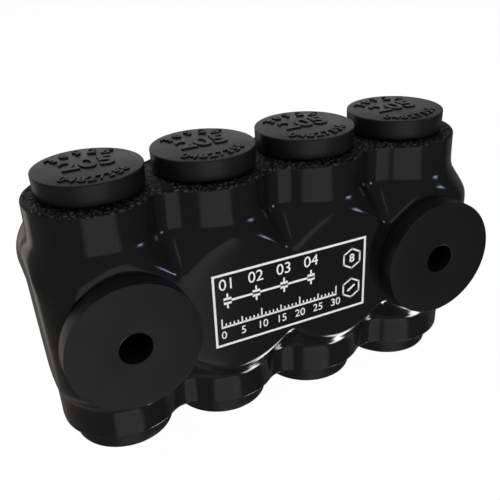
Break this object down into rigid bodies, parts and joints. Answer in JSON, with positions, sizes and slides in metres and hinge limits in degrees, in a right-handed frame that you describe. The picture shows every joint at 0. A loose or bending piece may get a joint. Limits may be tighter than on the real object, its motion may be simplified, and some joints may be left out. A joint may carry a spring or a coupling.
{
  "type": "insulated multi-tap connector",
  "caption": "Coated aluminium tap connector: round plugged wire ports right through from both sides, set screws behind plugs at the back, and insulated mount bushings at the ends.",
  "frame": {"origin": "middle of the bounding box's underside, below the middle of the row of ports", "axes": "+X along the row of ports, -Y out of the front face with the mount discs, +Y out of the set-screw side, +Z along the wire ports"},
  "size_m": [0.1188, 0.0668, 0.0708],
  "materials": {
    "plastisol_coat": "thick dipped vinyl coat, glossy black with a soft skin",
    "cast_aluminium": "extruded and bored, satin",
    "moulded_plug": "moulded, matte dark grey",
    "moulded_bushing": "moulded, matte black",
    "plated_screw": "turned and plated"
  },
  "bodies": {
    "connector": {"jacket": "plastisol_coat", "terminal_block": "cast_aluminium", "mount_bushing_front_left": "moulded_bushing", "mount_bushing_front_right": "moulded_bushing", "mount_bushing_rear_left": "moulded_bushing", "mount_bushing_rear_right": "moulded_bushing"},
    "wire_plug_top_1": {"wire_plug_top_1": "moulded_plug"},
    "wire_plug_top_2": {"wire_plug_top_2": "moulded_plug"},
    "wire_plug_top_3": {"wire_plug_top_3": "moulded_plug"},
    "wire_plug_top_4": {"wire_plug_top_4": "moulded_plug"},
    "wire_plug_bottom_1": {"wire_plug_bottom_1": "moulded_plug"},
    "wire_plug_bottom_2": {"wire_plug_bottom_2": "moulded_plug"},
    "wire_plug_bottom_3": {"wire_plug_bottom_3": "moulded_plug"},
    "wire_plug_bottom_4": {"wire_plug_bottom_4": "moulded_plug"},
    "screw_plug_1": {"screw_plug_1": "moulded_plug"},
    "screw_plug_2": {"screw_plug_2": "moulded_plug"},
    "screw_plug_3": {"screw_plug_3": "moulded_plug"},
    "screw_plug_4": {"screw_plug_4": "moulded_plug"},
    "set_screw_2": {"set_screw_2": "plated_screw"},
    "set_screw_3": {"set_screw_3": "plated_screw"}
  },
  "joints": [
    {"name": "wire_plug_top_1_pull", "type": "slide", "parent": "connector", "child": "wire_plug_top_1", "axis": [0, 0, 1], "range_m": [0, 0.03]},
    {"name": "wire_plug_top_2_pull", "type": "slide", "parent": "connector", "child": "wire_plug_top_2", "axis": [0, 0, 1], "range_m": [0, 0.03]},
    {"name": "wire_plug_top_3_pull", "type": "slide", "parent": "connector", "child": "wire_plug_top_3", "axis": [0, 0, 1], "range_m": [0, 0.03]},
    {"name": "wire_plug_top_4_pull", "type": "slide", "parent": "connector", "child": "wire_plug_top_4", "axis": [0, 0, 1], "range_m": [0, 0.03]},
    {"name": "wire_plug_bottom_1_pull", "type": "slide", "parent": "connector", "child": "wire_plug_bottom_1", "axis": [0, 0, -1], "range_m": [0, 0.03]},
    {"name": "wire_plug_bottom_2_pull", "type": "slide", "parent": "connector", "child": "wire_plug_bottom_2", "axis": [0, 0, -1], "range_m": [0, 0.03]},
    {"name": "wire_plug_bottom_3_pull", "type": "slide", "parent": "connector", "child": "wire_plug_bottom_3", "axis": [0, 0, -1], "range_m": [0, 0.03]},
    {"name": "wire_plug_bottom_4_pull", "type": "slide", "parent": "connector", "child": "wire_plug_bottom_4", "axis": [0, 0, -1], "range_m": [0, 0.03]},
    {"name": "screw_plug_1_pull", "type": "slide", "parent": "connector", "child": "screw_plug_1", "axis": [0, 1, 0], "range_m": [0, 0.03]},
    {"name": "screw_plug_2_pull", "type": "slide", "parent": "connector", "child": "screw_plug_2", "axis": [0, 1, 0], "range_m": [0, 0.03]},
    {"name": "screw_plug_3_pull", "type": "slide", "parent": "connector", "child": "screw_plug_3", "axis": [0, 1, 0], "range_m": [0, 0.03]},
    {"name": "screw_plug_4_pull", "type": "slide", "parent": "connector", "child": "screw_plug_4", "axis": [0, 1, 0], "range_m": [0, 0.03]},
    {"name": "set_screw_2_drive", "type": "slide", "parent": "connector", "child": "set_screw_2", "axis": [0, -1, 0], "range_m": [0, 0.012]},
    {"name": "set_screw_3_drive", "type": "slide", "parent": "connector", "child": "set_screw_3", "axis": [0, -1, 0], "range_m": [0, 0.012]}
  ]
}
